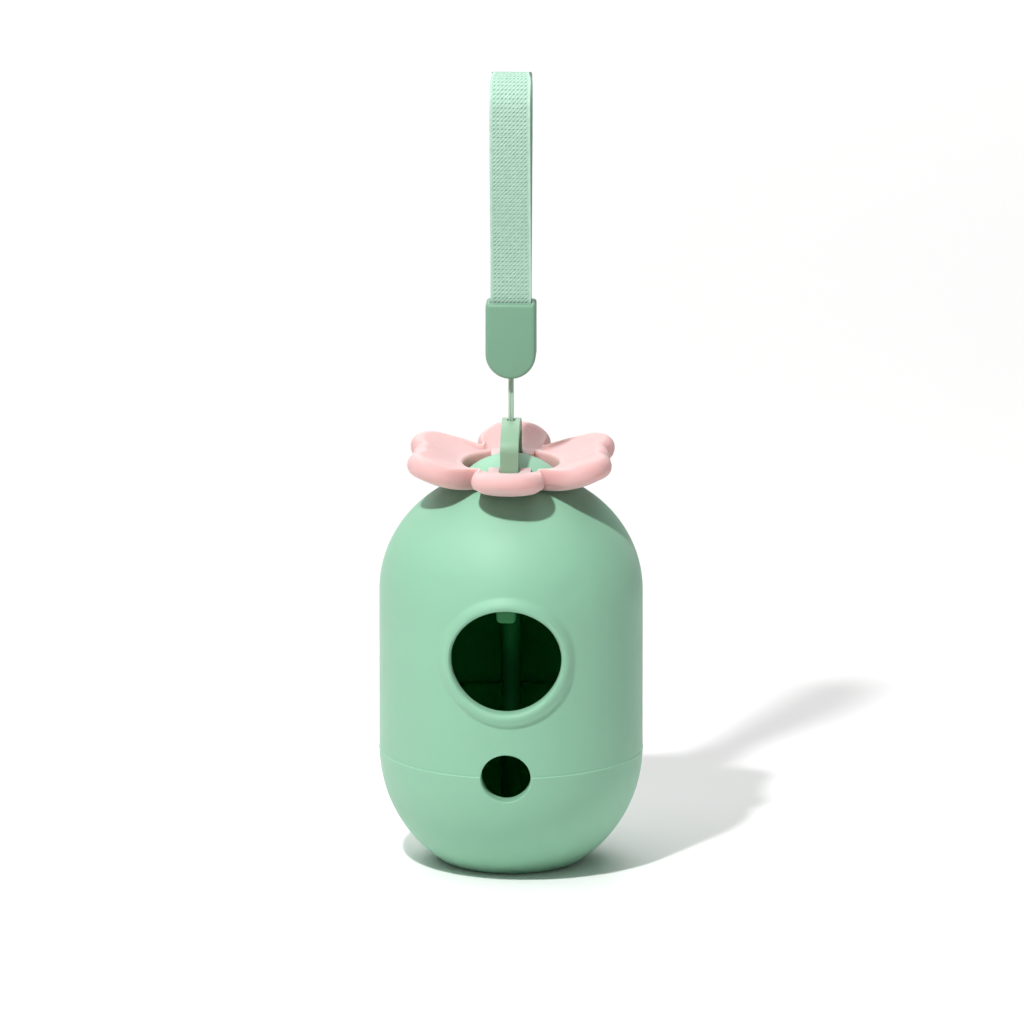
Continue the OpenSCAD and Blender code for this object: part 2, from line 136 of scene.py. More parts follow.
def tidy_mesh(obj):
    """Closes seams and poles and turns the faces outwards."""
    edit_all(obj)
    bpy.ops.mesh.remove_doubles(threshold=HAIR)
    bpy.ops.mesh.dissolve_degenerate(threshold=HAIR)
    bpy.ops.mesh.normals_make_consistent(inside=False)
    deselect()


def smooth(obj, angle=35):
    pick(obj)
    bpy.ops.object.shade_smooth_by_angle(angle=radians(angle))


def use(obj, kind, **settings):
    """Adds a modifier and applies it."""
    pick(obj)
    modifier = obj.modifiers.new(kind.lower(), kind)
    for key, value in settings.items():
        setattr(modifier, key, value)
    bpy.ops.object.modifier_apply(modifier=modifier.name)


def cut(obj, tool, operation="DIFFERENCE"):
    """Cuts the object with a tool, joins the tool to it or keeps what both share, and removes the tool."""
    use(obj, "BOOLEAN", object=tool, operation=operation, solver="EXACT")
    bpy.data.objects.remove(tool, do_unlink=True)


def arc(cx, cy, r, start, end, steps, height=None):
    """Points between two angles, in degrees, on a circle, or on an oval whose half height is given too."""
    rise = r if height is None else height
    angles = [radians(start + (end - start) * i / steps) for i in range(steps + 1)]
    return [(cx + r * cos(t), cy + rise * sin(t)) for t in angles]


def upright(r, start, end, rows):
    """Points straight up or down at one radius."""
    return [(r, start + (end - start) * i / rows) for i in range(rows + 1)]


def on_side(side, near, far):
    """The low and the high end of a stretch on the plus or the minus side of the axis."""
    return sorted((side * near, side * far))


def drawn(name, points):
    """An open line through the points, drawn corner by corner by extruding."""
    deselect()
    points = [v3(*p) for p in points]
    bpy.ops.mesh.primitive_plane_add(size=MM, location=points[0])
    obj = bpy.context.object
    obj.name = obj.data.name = name
    edit_all(obj)
    bpy.ops.mesh.merge(type="CENTER")
    for a, b in zip(points, points[1:]):
        bpy.ops.mesh.extrude_vertices_move(TRANSFORM_OT_translate={"value": b - a})
    bpy.ops.object.mode_set(mode="OBJECT")
    settle(obj)
    return obj


def slab(name, outline, thickness):
    """A flat outline, closed and filled, and pulled out to its thickness, which is given as (x, y, z)."""
    obj = drawn(name, outline + outline[:1])
    edit_all(obj)
    bpy.ops.mesh.remove_doubles(threshold=HAIR)
    bpy.ops.mesh.edge_face_add()
    bpy.ops.mesh.extrude_region_move(TRANSFORM_OT_translate={"value": v3(*thickness)})
    tidy_mesh(obj)
    return obj


def turned(name, outline, steps=144):
    """An outline of (radius, height) pairs spun round the upright axis."""
    obj = drawn(name, [(r, 0, z) for r, z in outline])
    edit_all(obj)
    bpy.ops.mesh.spin(steps=steps, angle=2 * pi, center=(0, 0, 0), axis=(0, 0, 1))
    tidy_mesh(obj)
    return obj


def block(name, low, high, corner=0.0, segments=3):
    """A cutter or small moulded block between two corners, its edges rounded if asked."""
    deselect()
    centre = [(a + b) / 2 for a, b in zip(low, high)]
    bpy.ops.mesh.primitive_cube_add(size=1, location=v3(*centre))
    obj = bpy.context.object
    obj.name = obj.data.name = name
    obj.scale = [(b - a) * MM for a, b in zip(low, high)]
    settle(obj)
    if corner:
        use(obj, "BEVEL", width=corner * MM, segments=segments, limit_method="NONE")
    return obj


def rod(name, r, low, high, sides=96):
    """A round cutter or rod between two points."""
    deselect()
    low, high = v3(*low), v3(*high)
    bpy.ops.mesh.primitive_cylinder_add(vertices=sides, radius=r * MM, depth=(high - low).length,
                                        location=(low + high) / 2)
    obj = bpy.context.object
    obj.name = obj.data.name = name
    obj.rotation_euler = (high - low).to_track_quat("Z", "Y").to_euler()
    settle(obj)
    return obj


# Materials
def finish_of(name, colour, roughness, specular=0.4):
    """A new material, with its nodes, its links and its shader."""
    material = bpy.data.materials.new(name)
    material.use_nodes = True
    nodes, links = material.node_tree.nodes, material.node_tree.links
    shader = nodes["Principled BSDF"]
    shader.inputs["Base Color"].default_value = (*colour, 1)
    shader.inputs["Roughness"].default_value = roughness
    shader.inputs["Specular IOR Level"].default_value = specular
    material.diffuse_color = (*colour, 1)
    return material, nodes, links, shader


def noise_over(nodes, links, place, scale, detail=2.0):
    """Soft noise over the coordinates given."""
    noise = nodes.new("ShaderNodeTexNoise")
    noise.inputs["Scale"].default_value = scale
    noise.inputs["Detail"].default_value = detail
    links.new(place, noise.inputs["Vector"])
    return noise.outputs["Fac"]


def raised(nodes, links, shader, height, depth):
    """Bump from a height between 0 and 1; the depth is in millimetres."""
    bump = nodes.new("ShaderNodeBump")
    bump.inputs["Strength"].default_value = 1.0
    bump.inputs["Distance"].default_value = depth * MM
    links.new(height, bump.inputs["Height"])
    links.new(bump.outputs["Normal"], shader.inputs["Normal"])


def carried_over(nodes, links, value, start, end, least=0.0, most=1.0, eased=False):
    """A value carried from one range into another and held at its ends."""
    node = nodes.new("ShaderNodeMapRange")
    if eased:
        node.interpolation_type = "SMOOTHSTEP"
    for socket, number in (("From Min", start), ("From Max", end), ("To Min", least), ("To Max", most)):
        node.inputs[socket].default_value = number
    links.new(value, node.inputs["Value"])
    return node.outputs["Result"]


def colours_between(nodes, links, value, low, high, start=0.0, end=1.0):
    """A colour between two, by a value."""
    ramp = nodes.new("ShaderNodeValToRGB")
    first, last = ramp.color_ramp.elements
    first.position, first.color = start, (*low, 1)
    last.position, last.color = end, (*high, 1)
    links.new(value, ramp.inputs["Fac"])
    return ramp.outputs["Color"]


def tint(colour, share):
    """A colour made lighter or darker."""
    return [c * share for c in colour]


def moulded(name, colour, roughness=0.5, specular=0.4, change=0.015, depth=0.012, scale=4.0):
    """Matt moulded plastic or rubber: fine spark-eroded grain, and a slight drift in colour and gloss.
    The grain's depth is in millimetres and its scale in grains per millimetre."""
    colour_scale, gloss_scale, gloss_change = 0.04, 0.25, 0.04
    material, nodes, links, shader = finish_of(name, colour, roughness, specular)
    place = nodes.new("ShaderNodeTexCoord").outputs["Object"]
    raised(nodes, links, shader, noise_over(nodes, links, place, scale / MM, 3.0), depth)
    patches = noise_over(nodes, links, place, colour_scale / MM)
    pale, deep = tint(colour, 1 + change), tint(colour, 1 - change)
    links.new(colours_between(nodes, links, patches, deep, pale, 0.3, 0.7), shader.inputs["Base Color"])
    patches = noise_over(nodes, links, place, gloss_scale / MM)
    gloss = carried_over(nodes, links, patches, 0.3, 0.7, roughness - gloss_change, roughness + gloss_change)
    links.new(gloss, shader.inputs["Roughness"])
    return material


def maths(nodes, links, operation, *inputs):
    """The result of one step of arithmetic, on numbers or on other nodes' results."""
    node = nodes.new("ShaderNodeMath")
    node.operation = operation
    for socket, value in zip(node.inputs, inputs):
        if isinstance(value, (int, float)):
            socket.default_value = value
        else:
            links.new(value, socket)
    return node.outputs["Value"]


def woven(name, colour, painted_shade, across, along):
    """Flat webbing: plump crossings of the threads, a small pit at each corner between them, and furrows that
    slant from pit to pit, all raised by bump; the colour darkens with depth, painted shade in the pits,
    grooves and furrows. It reads the piece's own map, in millimetres across and along the strap."""
    weave_depth, groove_share, furrow_share = 0.16, 0.25, 0.42
    selvedge_w, selvedge_fade = 0.25, 0.35
    material, nodes, links, shader = finish_of(name, colour, 0.75, 0.25)
    strap_map = nodes.new("ShaderNodeUVMap")
    strap_map.uv_map = "strap_map"
    parts = nodes.new("ShaderNodeSeparateXYZ")
    links.new(strap_map.outputs["UV"], parts.inputs["Vector"])

    def step(operation, *inputs):
        return maths(nodes, links, operation, *inputs)

    # the threads wander a little
    noise = noise_over(nodes, links, strap_map.outputs["UV"], 0.9)
    drift = step("MULTIPLY_ADD", noise, 0.18, -0.09)
    across_turn = step("MULTIPLY", step("ADD", parts.outputs["X"], drift), 2 * pi / across)
    along_turn = step("MULTIPLY", step("ADD", parts.outputs["Y"], drift), 2 * pi / along)
    columns, rows = step("COSINE", across_turn), step("COSINE", along_turn)
    pits = carried_over(nodes, links, step("ADD", columns, rows), 0.95, 1.9, eased=True)
    grooves = carried_over(nodes, links, rows, 0.2, 1.0, most=groove_share, eased=True)
    slant = step("COSINE", step("SUBTRACT", across_turn, along_turn))
    furrows = carried_over(nodes, links, slant, 0.0, 1.0, most=furrow_share, eased=True)
    # the selvedges are plain
    inset = step("SUBTRACT", WEB_W / 2 - selvedge_w, step("ABSOLUTE", parts.outputs["X"]))
    field = carried_over(nodes, links, inset, 0.0, selvedge_fade, eased=True)
    depth = step("MULTIPLY", step("MAXIMUM", pits, step("MAXIMUM", grooves, furrows)), field)
    raised(nodes, links, shader, step("SUBTRACT", 1.0, depth), weave_depth)
    wash = nodes.new("ShaderNodeMixRGB")
    wash.blend_type = "MULTIPLY"
    wash.inputs["Fac"].default_value = 1.0
    # the colour darkens with depth: painted shade in the pits, grooves and furrows
    links.new(colours_between(nodes, links, depth, colour, painted_shade), wash.inputs["Color1"])
    links.new(carried_over(nodes, links, noise, 0.3, 0.7, 0.94, 1.06), wash.inputs["Color2"])
    links.new(wash.outputs["Color"], shader.inputs["Base Color"])
    return material


SHELL_GREEN = (0.255, 0.515, 0.352)
SEAM_HIGHLIGHT_GREEN = (0.325, 0.635, 0.44)
INSIDE_SHADE_GREEN = (0.028, 0.41, 0.085)
SPINDLE_SHADE_GREEN = (0.009, 0.21, 0.045)
RIB_SHADE_GREEN = (0.033, 0.17, 0.062)
ARCH_GREEN = (0.245, 0.41, 0.275)
PETAL_PINK = (0.64, 0.415, 0.41)
CORD_GREEN = (0.40, 0.56, 0.43)
WEB_GREEN = (0.40, 0.58, 0.475)
WEB_PIT_PAINTED_SHADE = (0.165, 0.345, 0.255)
FERRULE_GREEN = (0.162, 0.32, 0.215)

shell_plastic = moulded("shell_plastic", SHELL_GREEN, 0.55)
shell_shader = shell_plastic.node_tree.nodes["Principled BSDF"]
shell_shader.inputs["Sheen Weight"].default_value = 0.12
shell_shader.inputs["Sheen Roughness"].default_value = 0.5
# a lighter green for the band under the cap's edge: a painted highlight for the light line along the parting
# line
seam_painted_highlight = moulded("seam_painted_highlight", SEAM_HIGHLIGHT_GREEN, 0.5)
# the inside takes a far darker green: painted shade for the dark inside of the shell and the cap
shell_inside = moulded("shell_inside", INSIDE_SHADE_GREEN, 0.7, 0.1)
# the rod takes a very dark green: painted shade for the dark inside of the shell
spindle_painted_shade = moulded("spindle_painted_shade", SPINDLE_SHADE_GREEN, 0.5, 0.1)
# the rib takes a dark green: painted shade for the shaded tab behind the window's top edge
rib_painted_shade = moulded("rib_painted_shade", RIB_SHADE_GREEN, 0.6, 0.15)
arch_plastic = moulded("arch_plastic", ARCH_GREEN, 0.5)
ferrule_plastic = moulded("ferrule_plastic", FERRULE_GREEN, 0.5)
flower_silicone = moulded("flower_silicone", PETAL_PINK, 0.6, 0.22, 0.02, 0.006, 3.0)
silicone_shader = flower_silicone.node_tree.nodes["Principled BSDF"]
silicone_shader.inputs["Subsurface Weight"].default_value = 0.85
silicone_shader.inputs["Subsurface Radius"].default_value = (1.0, 0.6, 0.52)
silicone_shader.inputs["Subsurface Scale"].default_value = 4.5 * MM
cord_finish = moulded("cord", CORD_GREEN, 0.7, 0.3, 0.05, 0.03, 6.0)
webbing_finish = woven("webbing", WEB_GREEN, WEB_PIT_PAINTED_SHADE, WEAVE_ACROSS, WEAVE_ALONG)
thread = moulded("thread", CORD_GREEN, 0.6, 0.3, 0.03, 0.02, 8.0)


def dress(obj, body, slot, *materials):
    """The piece gets its finish and the body it moves with; the record's slot is not used."""
    obj.data.materials.clear()
    for material in materials:
        obj.data.materials.append(material)
    if body:
        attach(obj, body)


# Shell
def tube_r(past, r, height):
    """Radius of a tube with a rounded end, at a distance past the start of that end."""
    return r if past < 0 else r * sqrt(max(0.0, 1 - (past / height) ** 2))


def skin_r(z):
    """Radius of the shell's outside at a height."""
    return tube_r(z - DOME_Z, BODY_R, DOME_H)


def skin_low(z):
    """Radius of the outside near the parting line, on the shell or on the cap."""
    return tube_r(SEAM_Z - z, BODY_R, BOTTOM_H)


def bore_skin_r(z):
    """Radius of the shell's inside at a height."""
    return tube_r(z - DOME_Z, BORE_R, DOME_H - WALL)


def shell_outline():
    """The shell's section, from the axis over the boss, down the outside, and up the inside to the axis."""
    side_rows, dome_rows = 36, 40
    low = SEAM_Z + SEAM_GAP / 2
    boss_edge, boss_drop, lip, lip_z = 0.4, 0.42, 0.05, low - 0.03
    edge, guide_edge, bore_edge = 0.15, 0.3, 0.2
    guide_r, guide_low, guide_bore, roof = 3.46, 71.1, 1.96, 80.1
    crown_t = degrees(acos((BOSS_R - 0.3) / CROWN_R))
    boss_t = degrees(acos(BOSS_R / BODY_R))
    guide_t = degrees(acos(guide_r / BORE_R))
    outline = arc(0, CROWN_Z, CROWN_R, 90, crown_t, 16)
    outline += arc(BOSS_R - boss_edge, outline[-1][1] - boss_drop, boss_edge, 35, 0, 3)
    outline += arc(0, DOME_Z, BODY_R, boss_t, 0, dome_rows, DOME_H)
    outline += upright(BODY_R, DOME_Z, low + 1.0, side_rows)[1:]
    # the lower edge hangs a hair low outside, to cover the gap above the cap
    outline += [(BODY_R, low + 0.5)] + arc(BODY_R - lip, lip_z, lip, 0, -90, 3)
    outline += [(BODY_R - 0.6, lip_z - lip), (BODY_R - 0.9, low)]
    outline += [(BORE_R + edge, low), (BORE_R, low + edge)]
    outline += upright(BORE_R, low + 1.0, DOME_Z, side_rows)
    outline += arc(0, DOME_Z, BORE_R, 0, guide_t, dome_rows, DOME_H - WALL)[1:]
    # the guide for the rod's tip
    outline += [(guide_r, guide_low + guide_edge), (guide_r - guide_edge, guide_low)]
    outline += [(guide_bore + bore_edge, guide_low), (guide_bore, guide_low + bore_edge)]
    return outline + [(guide_bore, roof), (0, roof)]


def window_patch(obj, skin, rings, inner):
    """Opens a block of the skin in front and closes it again in rings round the window's ellipse.
    Each ring is (distance outside the window's edge, height above the skin)."""
    half_turn, low, high, near = radians(40), 30.0, 62.5, 0.3
    limit = DOME_Z + (high - DOME_Z) * (1 - WALL / DOME_H) if inner else high

    def on_skin(c):
        return abs(hypot(c.x, c.y) - skin(c.z)) < near

    def in_block(face):
        c = face.calc_center_median() / MM
        return on_skin(c) and low < c.z < limit and c.y < 0 and abs(atan2(c.x, -c.y)) < half_turn

    def on_edge(e):
        return e.is_boundary and on_skin((e.verts[0].co + e.verts[1].co) / 2 / MM)

    choose(obj, "FACE", in_block)
    bpy.ops.mesh.delete(type="FACE")
    choose(obj, "EDGE", on_edge)
    a, b = WINDOW_A, WINDOW_B
    for across, up in rings:
        bpy.ops.mesh.extrude_edges_move(TRANSFORM_OT_translate={"value": (0, 0, 0)})
        end_a, end_b = WINDOW_A + across, WINDOW_B + across

        def to_ring(x, y, z):
            t = atan2((z - WINDOW_Z) / b, x / a)
            nx, nz = end_a * cos(t), WINDOW_Z + end_b * sin(t)
            return nx, -sqrt((skin(nz) + up) ** 2 - nx * nx), nz

        place_chosen(obj, to_ring)
        a, b = end_a, end_b
    deselect()


def middle_of_wall():
    """The shell's form at the middle of its wall, which what stands inside it is trimmed to."""
    r, height, low = BODY_R - WALL / 2, DOME_H - WALL / 2, 30
    outline = [(0, low), (r, low)] + arc(0, DOME_Z, r, 0, 87, 29, height)
    return turned("middle_of_wall", outline + [(0, DOME_Z + height)])


def flared_bore():
    """Cutter of the small hole on the parting line, with the hole's rounded outer edge, which is narrower at
    the top than at the bottom."""
    round_r, rings, flat = 0.35, 8, 0.98
    inner_y, outer_y, clear_y = -15, -23, -30
    bore = rod("small_hole", HOLE_R, (0, inner_y, HOLE_Z), (0, outer_y, HOLE_Z))
    edit_all(bore)
    place_chosen(bore, lambda x, y, z: (x, y, HOLE_Z + flat * (z - HOLE_Z)))
    choose(bore, "FACE", lambda f: f.normal.y < -0.9)
    for i in range(rings + 1):
        bpy.ops.mesh.extrude_region_move(TRANSFORM_OT_translate={"value": (0, 0, 0)})
        t = pi / 2 * i / rings
        proud = 0.02 if i == rings else 0.0

        def to_ring(x, y, z):
            a = atan2((z - HOLE_Z) / flat, x)
            wide = HOLE_R + round_r * (1 - cos(t)) * (0.55 - 0.45 * sin(a))
            nx, nz = wide * cos(a), HOLE_Z + flat * wide * sin(a)
            skin = -sqrt(skin_low(nz) ** 2 - nx * nx)
            return nx, skin + round_r * (1 - sin(t)) - proud, nz

        place_chosen(bore, to_ring)
    bpy.ops.mesh.extrude_region_move(TRANSFORM_OT_translate={"value": (0, -3 * MM, 0)})
    place_chosen(bore, lambda x, y, z: (x, clear_y, z))
    tidy_mesh(bore)
    return bore


def in_bore(c):
    """Whether a face's centre is on the wall of the small hole."""
    in_front = c.y < -20 and hypot(c.x, c.y) > COLLAR_IN + 0.05
    return in_front and hypot(c.x, c.z - HOLE_Z) < HOLE_R + 0.3


def leg_way(side):
    """Cutter of the slot that one leg of the arch goes through."""
    half = ARCH_W / 2 + 0.2
    near, far = on_side(side, LEG_IN - LEG_GAP, LEG_OUT + LEG_GAP)
    return block("leg_way", (-half, near, 70), (half, far, CLEAR_Z))


def make_shell():
    # the outer rings spread over the skin, then go over the rounded rim and into the window's wall
    rim_rings = [(5.0, 0), (4.3, 0), (3.7, 0), (3.1, 0), (2.75, 0.02), (2.5, 0.12), (2.15, 0.42),
                 (1.75, 0.78), (1.3, 0.97), (0.9, 1.0), (0.5, 0.86), (0.2, 0.52), (0.04, 0.15), (0, -0.3)]
    bore_rings = [(3.6, 0), (2.4, 0), (1.2, 0), (0, 0)]
    rib_half, rib_in, rib_out, rib_low, rib_top = 1.9, 22.2, 24.6, 53.75, 65.0
    key_half, key_out = KEY_HALF + 0.15, 24.9
    tongue_half, tongue_in, tongue_low = 4.4, 5.3, 79.1
    shell = turned("shell", shell_outline())
    window_patch(shell, skin_r, rim_rings, False)
    window_patch(shell, bore_skin_r, bore_rings, True)
    choose(shell, "EDGE", lambda e: e.is_boundary)
    bpy.ops.mesh.bridge_edge_loops()
    tidy_mesh(shell)

    rib = block("roll_rib", (-rib_half, -rib_out, rib_low), (rib_half, -rib_in, rib_top), 0.9)
    cut(rib, middle_of_wall(), "INTERSECT")
    cut(shell, rib, "UNION")
    cut(shell, block("key_slot", (-key_half, 23, 20), (key_half, key_out, 30.0)))
    cut(shell, flared_bore())
    for side in (-1, 1):
        near, far = on_side(side, tongue_in, 30)
        cut(shell, block("tongue_recess", (-tongue_half, near, tongue_low), (tongue_half, far, CLEAR_Z)))
        cut(shell, leg_way(side))
    dress(shell, "shell", "shell_plastic", shell_plastic, shell_inside, rib_painted_shade)
    # faces inside the shell take the dark inside green, painted shade; the outside and the small hole's wall
    # keep the shell's green
    for face in shell.data.polygons:
        c = face.center / MM
        r = hypot(c.x, c.y)
        outside = r > bore_skin_r(c.z) + 0.4 or c.z > DOME_Z + DOME_H - 3
        # the rib's faces take the dark rib green, painted shade
        by_rib = abs(c.x) < rib_half + 0.2 and c.y < 0.2 - rib_in and rib_low - 0.25 < c.z < rib_top + 1
        on_rib = by_rib and r < skin_r(c.z) - 0.7
        face.material_index = 2 if on_rib else 0 if outside or in_bore(c) else 1
    smooth(shell)
    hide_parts("body_shell")


# Cap and spindle
def make_cap():
    rows, base_edge = 30, 0.35
    top = SEAM_Z - SEAM_GAP / 2
    # the cap's edge stands a hair proud of the shell: (distance outside the body, height above the edge)
    bead = [(-0.03, -1.5), (0.01, -0.8), (0.05, -0.3), (0.07, -0.2), (0.06, -0.14), (0, 0.01), (-0.6, 0.01)]
    # how far down the cap's edge the painted highlight reaches
    bead_low = 0.2
    # the collar's bead all but touches the bore, and its top slopes inwards: (distance out, distance down)
    fit, inner_edge = 0.03, [(0.4, 0.2), (0.1, 0.5), (0, 0.9)]
    seat_in, seat_out, seat_top, seat_edge, bore_edge = 1.92, 3.42, 8.0, 0.3, 0.2
    inner_h = BOTTOM_H - WALL
    turn = degrees(asin(SEAM_Z / BOTTOM_H))
    first = degrees(acos(COLLAR_IN / BORE_R))
    last = degrees(asin((SEAM_Z - WALL) / inner_h))

    outline = [(0, 0), (BASE_R - base_edge, 0), (BASE_R - base_edge * 0.3, 0.03)]
    outline += arc(0, SEAM_Z, BODY_R, -turn, 0, rows, BOTTOM_H)[1:-1]
    outline += [(BODY_R + out, top + up) for out, up in bead]
    outline += [(COLLAR_R, top), (COLLAR_R, COLLAR_TOP - 0.5), (BORE_R - fit, COLLAR_TOP - 0.25)]
    outline += [(BORE_R - fit, COLLAR_TOP - 0.12), (COLLAR_R - 0.08, COLLAR_TOP)]
    outline += [(COLLAR_IN + out, COLLAR_TOP - down) for out, down in inner_edge]
    outline += arc(0, SEAM_Z, BORE_R, -first, -last, rows, inner_h)
    # the seat of the rod
    outline += [(seat_out + seat_edge, WALL), (seat_out, WALL + seat_edge), (seat_out, seat_top - seat_edge)]
    outline += [(seat_out - seat_edge, seat_top), (seat_in + bore_edge, seat_top)]
    outline += [(seat_in, seat_top - bore_edge), (seat_in, WALL), (0, WALL)]
    cap = turned("cap", outline)
    key_ends = (-KEY_HALF, COLLAR_R - 0.5, SEAM_Z - 1), (KEY_HALF, COLLAR_R + 0.8, COLLAR_TOP - 0.15)
    cut(cap, block("key", *key_ends, 0.2), "UNION")
    cut(cap, flared_bore())
    dress(cap, "base", "shell_plastic", shell_plastic, shell_inside, seam_painted_highlight)
    for face in cap.data.polygons:
        c = face.center / MM
        r = hypot(c.x, c.y)
        under_skin = c.z < SEAM_Z and r > skin_low(c.z) - 1.6
        outside = c.z < 0.5 or under_skin or r > COLLAR_R - 0.1
        # the band just under the cap's edge takes the lighter green, a painted highlight
        on_seam_highlight = top - bead_low < c.z < top + 0.01 and r > BODY_R - 0.1
        # faces neither outside nor in the small hole take the dark inside green, painted shade
        face.material_index = 2 if on_seam_highlight else 0 if outside or in_bore(c) else 1
    smooth(cap)
    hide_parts("bottom_cap")


def make_spindle():
    tip, edge, rows = 0.76, 0.15, 15
    shoulder = SPINDLE_TOP - tip
    outline = [(0, SPINDLE_LOW), (SPINDLE_R - edge, SPINDLE_LOW), (SPINDLE_R, SPINDLE_LOW + edge)]
    outline += [(SPINDLE_R, SPINDLE_LOW + 2 + 5 * i) for i in range(rows)]
    outline += [(SPINDLE_R, shoulder - edge), (SPINDLE_R - 0.08, shoulder + 0.08)]
    outline += [(SPINDLE_R - tip, SPINDLE_TOP), (0, SPINDLE_TOP)]
    spindle = turned("spindle_rod", outline, 64)
    # the rod's very dark green is painted shade
    dress(spindle, "base", "shell_plastic", spindle_painted_shade)
    smooth(spindle)
    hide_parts("spindle")


# Flower
LOBES = [(sx * 13.8, sy * 7.6, 6.4) for sx in (-1, 1) for sy in (-1, 1)]
TIPS = [(sx * 0.6, sy * 15.0, 6.7) for sx in (-1, 1) for sy in (-1, 1)]
MIDDLES = [(sx * 11.5, 0.0, 8.1) for sx in (-1, 1)]
FULL_REACH = 22.6


def ray_circle(a, x, y, r):
    """Distance from the axis to the far side of a circle along the direction a, or 0 past it."""
    along, off = x * cos(a) + y * sin(a), x * sin(a) - y * cos(a)
    return along + sqrt(r * r - off * off) if abs(off) < r and along > 0 else 0.0


def petal_reach(a):
    """Distance from the axis to the petals' outline along the direction a."""
    return max([RING_OUT] + [ray_circle(a, *disc) for disc in LOBES + TIPS + MIDDLES])


def soft_reach(a):
    """The same with the corners between the discs rounded."""
    weights, spread = (1, 2, 3, 2, 1), radians(1.5)
    return sum(w * petal_reach(a + (i - 2) * spread) for i, w in enumerate(weights)) / sum(weights)


def wide_reach(a):
    """The outline's reach evened out over a wider turn, for how high the rims rise."""
    step, count = radians(2.0), 7
    return sum(petal_reach(a + i * step) for i in range(-count, count + 1)) / (2 * count + 1)


def flower_section(a, across, round_n):
    """The flower's section at the angle a: up the bore, over the petal, round the rim and back below."""
    edge, flat_w, seat = 0.7, 1.0, 77.05
    thin, swell, rise, low_edge, sag = 2.4, 2.1, 3.1, 0.35, 0.2
    face_curve, under_curve, widest_rim, rim_share = 1.12, 2.3, 2.2, 0.4
    front_drop, rear_lift, flank_lift, flank_swell = 0.37, 0.45, 0.62, 0.15
    reach = soft_reach(a)
    even = 0.25 * reach + 0.75 * wide_reach(a)
    # the rims lie on one shallow bowl, so the faces run smoothly over them
    out = min(1.0, max(0.0, (even - RING_OUT) / (FULL_REACH - RING_OUT)))
    share, height = out ** 0.8, out ** 1.2
    rim_r = min(widest_rim, (reach - RING_R) * rim_share)
    rim = reach - rim_r
    half_t = (thin + swell * share) / 2
    mid = RING_TOP + rise * height - half_t
    # the front petal is thinner and lies lower, and the side petals are thicker and lie highest
    front, rear, flank = [part ** 4 * share for part in (max(0.0, -sin(a)), max(0.0, sin(a)), cos(a))]
    half_t += flank_swell * flank - front_drop * front
    mid += rear_lift * rear + flank_lift * flank - front_drop * front
    lean = radians(13) * share
    top_r, top_z = rim - rim_r * sin(lean), mid + half_t * cos(lean)
    low_r, low_z = rim + rim_r * sin(lean), mid - half_t * cos(lean)
    inner = RING_R + edge

    def along(r, end):
        return min(1.0, max(0.0, r - RING_R - flat_w) / max(0.07, end - RING_R - flat_w))

    section = upright(RING_R, seat + low_edge, RING_TOP - edge, 2)
    section += arc(inner, RING_TOP - edge, edge, 180, 90, 4)[1:-1]
    for i in range(across + 1):
        r = inner + (top_r - inner) * i / across
        section.append((r, RING_TOP + (top_z - RING_TOP) * along(r, top_r) ** face_curve))
    for i in range(1, round_n):
        t = lean + pi / 2 - pi * i / round_n
        section.append((rim + rim_r * cos(t), mid + half_t * sin(t)))
    for i in range(across, -1, -1):
        r = inner + (low_r - inner) * i / across
        s = along(r, low_r)
        section.append((r, seat + (low_z - seat) * s ** under_curve - sag * share * 4 * s * (1 - s)))
    return section


def make_flower():
    steps, across, round_n = 288, 16, 14
    prong_in, prong_out, prong_near, prong_far, prong_low = 1.9, 4.2, 5.5, 10.7, 79.2
    first = flower_section(0, across, round_n)
    flower = turned("flower", first + first[:1], steps)
    edit_all(flower)
    at_zero = {(round(r, 3), round(z, 3)): i for i, (r, z) in enumerate(first)}
    sections = {}

    def carried(x, y, z):
        """Each spun section takes the shape that belongs to its own angle."""
        r, key = hypot(x, y), round(degrees(atan2(y, x)) * steps / 360)
        a = key * 2 * pi / steps
        if key not in sections:
            sections[key] = flower_section(a, across, round_n)
        i = at_zero.get((round(r, 3), round(z, 3)))
        if i is None:
            i = min(range(len(first)), key=lambda k: hypot(first[k][0] - r, first[k][1] - z))
        new_r, new_z = sections[key][i]
        return new_r * cos(a), new_r * sin(a), new_z

    place_chosen(flower, carried)
    tidy_mesh(flower)
    # each of the two tongues has a pair of prongs beside the leg that goes through it
    for side in (-1, 1):
        low_y, high_y = on_side(side, prong_near, prong_far)
        for prong in (-1, 1):
            low_x, high_x = on_side(prong, prong_in, prong_out)
            ends = (low_x, low_y, prong_low), (high_x, high_y, RING_TOP)
            cut(flower, block("prong", *ends, 0.12, 2), "UNION")
        cut(flower, leg_way(side))
    dress(flower, "shell", "flower_silicone", flower_silicone)
    smooth(flower, 40)
    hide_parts("flower_collar")


# Arch
def arch_half(w, r, corner, steps=16):
    """Half of the arch's outline, from the crest down the corner to the leg, as (y, z)."""
    corner_z = ARCH_CENTRE_Z + sqrt((r - corner) ** 2 - (w - corner) ** 2)
    t = degrees(atan2(corner_z - ARCH_CENTRE_Z, w - corner))
    return arc(0, ARCH_CENTRE_Z, r, 90, t, steps) + arc(w - corner, corner_z, corner, t, 0, 8)[1:]


